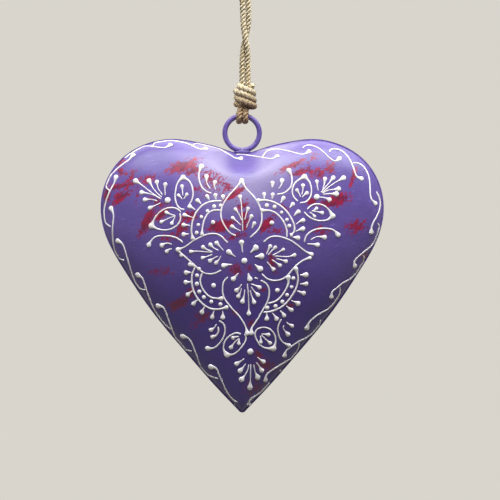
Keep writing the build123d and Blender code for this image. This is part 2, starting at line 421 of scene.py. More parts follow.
def add_twine(name, paths, node, body=None, **shape):
    """One mesh of several lengths of twine, with the fibres' lay in a UV map and the grooves marked."""
    surfaces = [twine_surface(path, **shape) for path in paths]
    parts = [closed_grid(*surface[:3]) for surface in surfaces]
    lays, grooves = [], []
    for (_, _, _, along, groove), (_, _, fans, rows, columns) in zip(surfaces, parts):
        lays.append(np.stack([along[rows], columns * PLIES / AROUND], -1).reshape(-1, 2))
        lays.append(np.zeros((fans.size, 2)))
        grooves += [groove.ravel(), np.ones(2)]
    piece = add_piece(name, *joined(parts), JUTE, "jute_twine", body, node)
    lay = piece.data.uv_layers.new(name="lay")
    lay.data.foreach_set("uv", np.vstack(lays).astype(np.float32).ravel())
    mark_points(piece, "groove", np.concatenate(grooves))
    return piece


def add_stray_fibres(name, paths, count, seed, radius=TWINE / 2, body=None):
    """Loose fibres that stand out of the twine: thin curved threads, three-sided, count to each 10 mm."""
    chance = np.random.default_rng(seed)
    corner = (np.arange(3) * 2 * np.pi / 3)[None, :, None]
    share = np.linspace(0, 1, 5)[:, None]
    thick = (FIBRE_RADIUS * (1 - 0.6 * share))[..., None]
    parts = []
    for path in paths:
        path, along = even_steps(path, 0.3)
        tangent, side, up = steady_frames(path)
        for _ in range(int(count * along[-1] / 10)):
            at = chance.integers(2, len(path) - 2)
            angle = chance.uniform(0, 2 * np.pi)
            radial = np.cos(angle) * side[at] + np.sin(angle) * up[at]
            lean = tangent[at] * chance.choice([-1, 1])
            length = chance.uniform(*FIBRE_LENGTHS)
            rise = chance.uniform(*FIBRE_RISES)
            stray = chance.normal(0, FIBRE_STRAY, 3)
            line = path[at] + radial * (radius * 0.9 + rise * length * share * (1.2 - 0.5 * share))
            line = line + lean * length * 0.8 * share + stray * length * share**2
            _, across, over = steady_frames(line)
            ring = np.cos(corner) * across[:, None, :] + np.sin(corner) * over[:, None, :]
            parts.append(closed_grid(line[:, None, :] + thick * ring, line[0], line[-1]))
    return add_piece(name, *joined(parts), JUTE, "jute_twine", body)


# Route of the doubled twine, in mm: height, sideways place and turn of the pair
TWIN_ROUTE = [
    (-22.0, 1.6, 180), (-31.0, 2.2, 182), (-39.0, 2.3, 192), (-44.5, 2.2, 228), (-50.0, 2.0, 270),
    (-55.5, 1.9, 312), (-61.5, 1.8, 348), (-69.5, 1.7, 358), (-77.0, 1.8, 360),
]
TWIN_RADIUS = 1.75
# Route round the nail's left side, sideways place and height; the right side mirrors it
EYE_ROUTE = [(-2.1, 1.5), (-4.8, -1.7)]


def hanging_route():
    """Up one strand, over the nail and down the other, both ends tucked into the knot."""
    first, second = [], []
    for z, x, turn in TWIN_ROUTE:
        swing = TWIN_RADIUS * np.array([np.cos(np.radians(turn)), np.sin(np.radians(turn)), 0])
        first.append(np.array([x, 0, z]) + swing)
        second.append(np.array([x, 0, z]) - swing)
    left = [np.array([x, 0, z]) for x, z in EYE_ROUTE]
    right = [np.array([-x, 0, z]) for x, z in EYE_ROUTE]
    return first[::-1] + left[::-1] + right + second


# Camera, level with the view's middle, and the scale of the view at the ornament

MM_PER_POINT = 0.629
RING_POINT = (242.2, 133.0)
RING_Z = -109.322
CLEFT_Z = -121.872
VIEW_MIDDLE = 250.0
SENSOR_WIDTH = 36.0
CAMERA_DISTANCE = 1300.0
CAMERA_X = (VIEW_MIDDLE - RING_POINT[0]) * MM_PER_POINT
CAMERA_Z = RING_Z - (VIEW_MIDDLE - RING_POINT[1]) * MM_PER_POINT


def add_camera():
    """Level camera straight in front; its sensor sees 500 view points at the ornament."""
    data = bpy.data.cameras.new("camera")
    data.sensor_width = SENSOR_WIDTH
    data.lens = SENSOR_WIDTH * CAMERA_DISTANCE / (2 * VIEW_MIDDLE * MM_PER_POINT)
    data.clip_start = 0.05
    camera = linked("camera", data)
    camera.location = Vector((CAMERA_X, -CAMERA_DISTANCE, CAMERA_Z)) * MM
    camera.rotation_euler = (np.pi / 2, 0, 0)
    bpy.context.scene.camera = camera


add_camera()

JUTE = jute("dry_jute")
KNOT_TUCK = 2.4

hanging_line = smooth_route(hanging_route())
into_knot = np.array([0, 0, -KNOT_TUCK])
tucked_line = np.vstack([hanging_line[:1] + into_knot, hanging_line, hanging_line[-1:] + into_knot])
hanging_twine = add_twine("hanging_twine", [tucked_line], "hanging_loop")
hanging_fibres = add_stray_fibres("hanging_twine_fibres", [hanging_line], count=26, seed=3)
for piece in (hanging_twine, hanging_fibres):
    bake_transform(piece)

# Knot: four strands, the wraps round them, and the cut end

KNOT_X = 1.8
WRAP_TOP = -81.8
WRAP_PITCH = 3.8
WRAP_RADIUS = 5.3
WRAP_TWINE = 4.2
WRAP_LEAN = 19.0
WRAP_START = 240
WRAP_FIRST, WRAP_LAST, WRAP_DIVE = -40, 1085, 60
WRAP_TUCK = 2.6
KNOT_BOTTOM = -94.62
KNOT_STRANDS = [(-1.65, 0, -79.0), (1.65, 0, -79.0), (0, -2.86, -82.0), (0, 2.86, -82.0)]
CUT_TWINE = 3.9
CUT_FOOT = np.array([3.7, -0.9, -82.2])
CUT_TIP = np.array([6.5, -3.0, -78.9])


def wrap_path():
    """Left-handed winding of nearly three turns, leant to the right, whose ends dive in between the strands.

    At turn t the angle is WRAP_START + t, the radius WRAP_RADIUS less WRAP_TUCK at the ends, and the height
    WRAP_TOP - WRAP_PITCH t / 360 - tan(WRAP_LEAN) times the way to the right, each a little uneven.
    """
    turn = np.linspace(WRAP_FIRST, WRAP_LAST, 420)
    angle = np.radians(WRAP_START + turn)
    into = np.maximum(turn / WRAP_FIRST, (turn - WRAP_LAST + WRAP_DIVE) / WRAP_DIVE)
    into = np.clip(into, 0, 1) ** 1.5
    radius = WRAP_RADIUS - WRAP_TUCK * into + 0.22 * np.sin(angle * 0.71 + 0.6)
    right = radius * np.cos(angle)
    height = WRAP_TOP - WRAP_PITCH * np.clip(turn, -20, 1050) / 360 - right * np.tan(np.radians(WRAP_LEAN))
    height = height + 0.25 * np.sin(angle * 1.37) + 0.9 * into
    return np.stack([KNOT_X + right, radius * np.sin(angle), height], -1)


winding_path = wrap_path()
wraps = {"diameter": WRAP_TWINE, "tuck": 1.0, "rounded": 0.45}
winding = add_twine("knot_wraps", [winding_path], "knot_winding", "knot", **wraps)

strand_paths = [
    np.array([[KNOT_X + x, y, z] for z in np.linspace(top, KNOT_BOTTOM, 12)])
    for x, y, top in KNOT_STRANDS
]
core = add_twine("knot_core_strands", strand_paths, "knot_strands", "knot", diameter=TWINE, tuck=1.0)

rise = np.linspace(0, 1, 14)[:, None]
cut_path = CUT_FOOT + (CUT_TIP - CUT_FOOT) * rise + np.array([1.0, 0, 0]) * np.sin(np.pi * rise) * 0.5
stub = {"diameter": CUT_TWINE, "tuck": 0.35, "rounded": 0.3}
cut_end = add_twine("twine_cut_end_stub", [cut_path], "twine_cut_end", "knot", **stub)
frayed = CUT_TIP + (CUT_TIP - CUT_FOOT) * np.linspace(-0.25, 0.12, 6)[:, None]
knot_fibres = add_stray_fibres(
    "knot_fibres", [winding_path, cut_path], count=20, seed=5, radius=WRAP_TWINE / 2, body="knot"
)
fray = add_stray_fibres("cut_end_fray", [frayed], count=260, seed=12, radius=TWINE / 2, body="knot")

# Hitch: two bends of twine under the ring's wire

HITCH_TWINE = 3.8
HITCH_REACH = 3.4
HITCH_APART = 1.9
HITCH_TOP_APART = 1.5
HITCH_TOP_X = KNOT_X * 0.55
HITCH_TOP_Y = -1.9
HITCH_TOP_Z = -91.6
RING_TO_WIRE = 10.85


def hitch_path(side):
    """Down from the knot in front of the wire, half a circle of HITCH_REACH under it, and up behind."""
    x = side * HITCH_APART
    wire_z = RING_Z + np.sqrt(RING_TO_WIRE**2 - x**2)
    under = np.radians(np.linspace(-180, 0, 40))
    bend = np.stack([np.full(40, x), HITCH_REACH * np.cos(under), wire_z + HITCH_REACH * np.sin(under)], -1)
    top_x = HITCH_TOP_X + side * HITCH_TOP_APART
    down = np.linspace(0, 1, 12)[:-1, None]
    ease = down**2 * (3 - 2 * down)
    front = np.array([top_x, HITCH_TOP_Y, HITCH_TOP_Z]) * (1 - ease) + bend[0] * ease
    front[:, 2] = HITCH_TOP_Z + (wire_z - HITCH_TOP_Z) * down[:, 0]
    back = front[::-1] * np.array([1, -1, 1])
    return np.vstack([front, bend, back])


hitch_paths = {"left_hitch_loop": hitch_path(-1), "right_hitch_loop": hitch_path(1)}
bends = {"diameter": HITCH_TWINE, "tuck": 1.0, "flatten": 0.95, "rounded": 0.3}
hitch_pieces = [add_twine(node + "_bend", [path], node, **bends) for node, path in hitch_paths.items()]
hitch_pieces.append(
    add_stray_fibres("hitch_fibres", hitch_paths.values(), count=14, seed=9, radius=HITCH_TWINE / 2)
)
for piece in hitch_pieces:
    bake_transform(piece)

# Heart

HEART_WIDTH = 178.0
HEART_HEIGHT = 172.0
SHELL_DEPTH = 23.0
SHEET = 0.6
SEAM_WIDTH = 0.8
TIP_RADIUS = 2.6
FLANK_LEAN = 42.0
HOLLOW_HALF_WIDTH = 16.5
HOLLOW_REACH = 11.0
HOLLOW_SHARE = 0.29
# Outline from cleft to tip: shares of the half width, and of the height above the tip
OUTLINE_SHARES = [
    (0.0, 0.949), (0.155, 0.968), (0.33, 0.990), (0.50, 1.0), (0.69, 0.980), (0.84, 0.934), (0.94, 0.870),
    (1.0, 0.757), (0.96, 0.641), (0.84, 0.526), (0.65, 0.379), (0.37, 0.203), (0.12, 0.058),
]
TIP_Z = CLEFT_Z - OUTLINE_SHARES[0][1] * HEART_HEIGHT
CROWN_Z = TIP_Z + 0.683 * HEART_HEIGHT
OVAL_HALF_WIDTH = 0.72 * HEART_WIDTH / 2
OVAL_HALF_HEIGHT = 0.66 * HEART_HEIGHT / 2
DOME_POWER = 0.54
DOME_ROWS = 110
CROWN_GAP = 0.012
RIM_STEPS = 221
RIM_CROWDING = 0.55
A_HAIR = 0.000001


def clamped_cubic(points, start_slope, end_slope, per_span):
    """Cubic spline by chord length through the points, with the slope set at both ends."""
    gap = np.linalg.norm(np.diff(points, axis=0), axis=1)
    count = len(points)
    matrix = np.zeros((count, count))
    target = np.zeros((count, 2))
    matrix[0, 0] = matrix[-1, -1] = 1
    target[0], target[-1] = start_slope, end_slope
    rise = np.diff(points, axis=0) / gap[:, None]
    for i in range(1, count - 1):
        matrix[i, i - 1 : i + 2] = gap[i], 2 * (gap[i - 1] + gap[i]), gap[i - 1]
        target[i] = 3 * (gap[i] * rise[i - 1] + gap[i - 1] * rise[i])
    slope = np.linalg.solve(matrix, target)
    t = np.linspace(0, 1, per_span, endpoint=False)[None, :, None]
    h = gap[:, None, None]
    curve = (
        (2 * t**3 - 3 * t**2 + 1) * points[:-1, None]
        + (t**3 - 2 * t**2 + t) * h * slope[:-1, None]
        + (3 * t**2 - 2 * t**3) * points[1:, None]
        + (t**3 - t**2) * h * slope[1:, None]
    )
    return curve.reshape(-1, 2)


def rim_line():
    """Rim of the right half of a pressing, from the cleft round the lobe to the tip, in x and z."""
    lean = np.radians(FLANK_LEAN)
    shares = np.array(OUTLINE_SHARES)
    points = np.stack([shares[:, 0] * HEART_WIDTH / 2, TIP_Z + shares[:, 1] * HEART_HEIGHT], -1)
    arc_angle = np.linspace(-lean, -np.pi / 2, 60)
    arc = np.stack([np.cos(arc_angle), np.sin(arc_angle)], -1) * TIP_RADIUS + [0, TIP_Z + TIP_RADIUS]
    points = np.vstack([points, arc[0]])
    side = clamped_cubic(points, (1.0, 0.0), (-np.sin(lean), -np.cos(lean)), 60)
    edge = np.vstack([side, arc])
    forward = unit(np.gradient(edge, axis=0))
    forward[0], forward[-1] = (1, 0), (-1, 0)
    return edge - np.stack([-forward[:, 1], forward[:, 0]], -1) * SEAM_WIDTH


RIM = rim_line()
RIM_TURN = np.arctan2(RIM[:, 0], RIM[:, 1] - CROWN_Z)
RIM_REACH = np.hypot(RIM[:, 0], RIM[:, 1] - CROWN_Z)


def hammer_marks(x, z):
    """Slow unevenness of hand pressing, about a quarter of a millimetre."""
    waves = np.sin(x / 9.5 + 1.7 * np.sin(z / 17)) * np.sin(z / 11.5 + 1.3 * np.sin(x / 14 + 0.8))
    return 0.16 * waves + 0.08 * np.sin(x / 4.7 + z / 6.1) * np.sin(z / 5.3 - x / 8.2)


def reach_of_ray(x, z):
    """How far a point lies from the crown, and how far the rim and the crown's oval lie the same way."""
    rise = z - CROWN_Z + A_HAIR
    out = np.hypot(x, rise)
    reach = np.interp(np.arctan2(np.abs(x), rise), RIM_TURN, RIM_REACH)
    oval = out / np.hypot(x / OVAL_HALF_WIDTH, rise / OVAL_HALF_HEIGHT)
    return out, reach, oval


def dome_depth(x, z):
    """Depth of a pressing at x and z: SHELL_DEPTH (1 - level^2)^DOME_POWER, less the hollow under the cleft.

    level solves out = level (level reach + (1 - level) oval) on the ray from the crown.
    """
    out, reach, oval = reach_of_ray(x, z)
    level = 2 * out / (oval + np.sqrt(np.maximum(oval**2 + 4 * (reach - oval) * out, 0)))
    level = np.clip(level, 0, 1)
    away = (x / HOLLOW_HALF_WIDTH) ** 2 + ((z - CLEFT_Z) / HOLLOW_REACH) ** 2
    hollow = 1 - HOLLOW_SHARE * np.exp(-(away**2))
    edge = 1 - level**2
    return SHELL_DEPTH * edge**DOME_POWER * hollow + hammer_marks(x, z) * np.minimum(edge * 5, 1)


def dome_normal(x, z):
    """Outward direction of the front pressing's face at x and z."""
    step = 0.15
    across = (dome_depth(x + step, z) - dome_depth(x - step, z)) / (2 * step)
    upward = (dome_depth(x, z + step) - dome_depth(x, z - step)) / (2 * step)
    return unit(np.stack([-across, -np.ones_like(across), -upward], -1))


PIPED_LEVEL = 0.996
BULGE_Y = 262.0
BULGE_HALF = 40.0
BULGE_DEEP = 2.4
BULGE_FROM = 200.0
BULGE_FADE = 60.0


def point_on_front(point):
    """Place on the front pressing that a view point falls on, seen from the camera, and inside the rim.

    The real left flank bulges BULGE_DEEP view points further round BULGE_Y than the even pressing does,
    so points there are first drawn in by as much, fading out from BULGE_FROM - BULGE_FADE to BULGE_FROM.
    """
    point = np.array(point, float)
    bulge = np.exp(-(((point[:, 1] - BULGE_Y) / BULGE_HALF) ** 2))
    point[:, 0] += BULGE_DEEP * bulge * np.clip((BULGE_FROM - point[:, 0]) / BULGE_FADE, 0, 1)
    depth = np.zeros(len(point))
    for _ in range(16):
        share = (CAMERA_DISTANCE - depth) / CAMERA_DISTANCE * MM_PER_POINT
        x = CAMERA_X + (point[:, 0] - VIEW_MIDDLE) * share
        z = CAMERA_Z - (point[:, 1] - VIEW_MIDDLE) * share
        out, reach, oval = reach_of_ray(x, z)
        kept = np.minimum(1, PIPED_LEVEL * (PIPED_LEVEL * reach + (1 - PIPED_LEVEL) * oval) / out)
        x, z = x * kept, CROWN_Z + (z - CROWN_Z) * kept
        depth = (depth + dome_depth(x, z)) / 2
    return x, z


# Places where the first coat shows: middle x and y in view points, half length, half width, lean in
# degrees anticlockwise, strength
RUBBED = [
    (119, 163, 6, 3, 30, 1.0), (121, 172, 7, 3, -25, 1.0), (132, 175, 7, 3, 60, 0.8),
    (122, 186, 18, 3, 12, 1.0), (107, 194, 8, 3, 80, 1.3), (122, 196, 13, 4, 35, 1.0),
    (149, 178, 9, 5, 20, 0.7), (137, 193, 11, 2, 85, 0.7), (183, 166, 15, 5, 15, 1.2),
    (193, 171, 10, 3, 20, 1.2), (158, 202, 10, 3, -30, 0.8), (146, 222, 13, 4, 62, 1.4),
    (162, 213, 9, 3, 45, 1.4), (172, 236, 14, 4, 10, 0.6), (190, 216, 9, 5, 10, 0.9),
    (181, 229, 8, 5, 60, 0.8), (222, 226, 11, 4.5, 12, 1.6), (236, 193, 12, 2.4, 32, 1.3),
    (212, 180, 18, 9, -30, 0.62), (226, 186, 12, 4, -20, 0.75), (243, 206, 7, 5, -20, 0.8),
    (244, 220, 15, 4, 85, 0.9), (236, 236, 13, 3, 15, 0.8), (267, 224, 9, 3.4, 45, 1.5),
    (284, 207, 5, 2, -35, 1.0), (291, 166, 13, 3, 25, 1.1), (300, 172, 9, 3, 20, 1.1),
    (309, 168, 8, 2, 100, 0.9), (315, 156, 5, 4, 40, 0.7), (330, 168, 8, 6, 60, 0.85),
    (319, 173, 8, 7, 0, 0.75), (335, 201, 13, 4.5, 17, 1.6), (312, 202, 5, 4, 0, 1.0),
    (353, 177, 9, 1.8, 72, 1.3), (356, 226, 10, 7, 15, 0.75), (276, 231, 10, 4, 0, 0.6),
    (322, 231, 7, 5, 0, 0.65), (272, 262, 10, 3, 110, 1.1), (237, 270, 7, 5, 0, 0.9),
    (250, 269, 5, 3, 0, 0.7), (179, 303, 11, 4.5, 28, 1.25), (190, 292, 7, 4, 30, 0.65),
    (203, 317, 7, 6, 0, 0.75), (196, 324, 8, 5, 30, 0.5), (264, 290, 5, 1.5, 5, 1.0),
    (236, 313, 4, 2.5, 0, 0.8), (268, 366, 12, 6, -20, 0.72), (256, 388, 12, 8, 0, 0.5),
    (251, 323, 5, 4, 0, 0.7), (366, 256, 6, 4, 60, 0.75), (160, 271, 12, 5, 0, 0.5),
    (290, 305, 5, 3, -40, 0.7), (258, 354, 5, 3, -40, 0.9), (200, 190, 12, 6, 0, 0.45),
]


def rubbed_share(x, z):
    """How far the purple is rubbed back at x and z: the largest of the oval patches, soft-edged."""
    share = np.zeros_like(x)
    for px, py, half_length, half_width, lean, strength in RUBBED:
        turn = np.radians(lean)
        mid_x, mid_z = point_on_front([(px, py)])
        dx, dz = (x - mid_x) / MM_PER_POINT, (z - mid_z) / MM_PER_POINT
        along = (dx * np.cos(turn) + dz * np.sin(turn)) / half_length
        across = (-dx * np.sin(turn) + dz * np.cos(turn)) / half_width
        share = np.maximum(share, strength * np.exp(-(along**2 + across**2) * 0.9))
    return share


def add_pressing(name, node, mirrored):
    """Closed sheet of one pressing: the outer dome from crown to rim, and back inside, SHEET thinner.

    Along the rim the points crowd towards the cleft and the tip. The back one is the front one mirrored,
    with its rubbed patches mirrored across as well.
    """
    run = run_along(RIM)
    share = np.linspace(0, 1, RIM_STEPS)
    share = share - RIM_CROWDING * np.sin(2 * np.pi * share) / (2 * np.pi)
    right = np.stack([np.interp(share * run[-1], run, values) for values in RIM.T], -1)
    rim = np.vstack([right, right[-2:0:-1] * [-1, 1]])
    ray = rim - [0, CROWN_Z]
    reach = np.linalg.norm(ray, axis=1)
    ray = ray / reach[:, None]
    oval = 1 / np.hypot(ray[:, 0] / OVAL_HALF_WIDTH, ray[:, 1] / OVAL_HALF_HEIGHT)
    level = np.sin(np.linspace(CROWN_GAP, np.pi / 2, DOME_ROWS))[:, None]
    out = level * (level * reach + (1 - level) * oval)
    x = ray[:, 0] * out
    z = CROWN_Z + ray[:, 1] * out
    outer = np.stack([x, -dome_depth(x, z), z], -1)
    outer[-1, :, 1] = 0
    inward = -dome_normal(x, z)
    inward[-1] = np.stack([-ray[:, 0], np.zeros(len(rim)), -ray[:, 1]], -1)
    inner = outer + inward * SHEET
    inner[-1, :, 1] = 0
    grid = np.vstack([outer, inner[::-1]])
    crown_out = np.array([0, -dome_depth(np.zeros(1), np.full(1, CROWN_Z))[0], CROWN_Z])
    crown_in = crown_out + [0, SHEET, 0]
    rub = rubbed_share(x, z)
    if mirrored:
        rub = rub[:, np.roll(np.arange(rub.shape[1])[::-1], 1)]
        grid, crown_out, crown_in = (points * [1, -1, 1] for points in (grid, crown_out, crown_in))
    sheet = joined([closed_grid(grid, crown_out, crown_in)])
    piece = add_piece(name, *sheet, ENAMEL, "painted_iron", "heart", node)
    mark_points(piece, "rubbed", np.concatenate([rub.ravel(), np.zeros(rub.size + 2)]))


ENAMEL = brushed_enamel("purple_enamel_over_red", True)
PLAIN_ENAMEL = brushed_enamel("purple_enamel", False)
add_pressing("front_pressing", "front_shell", mirrored=False)
add_pressing("back_pressing", "back_shell", mirrored=True)

# Piping, all in view points

LINE = 0.72
TOP_LINE = 0.52
FINE = 0.5
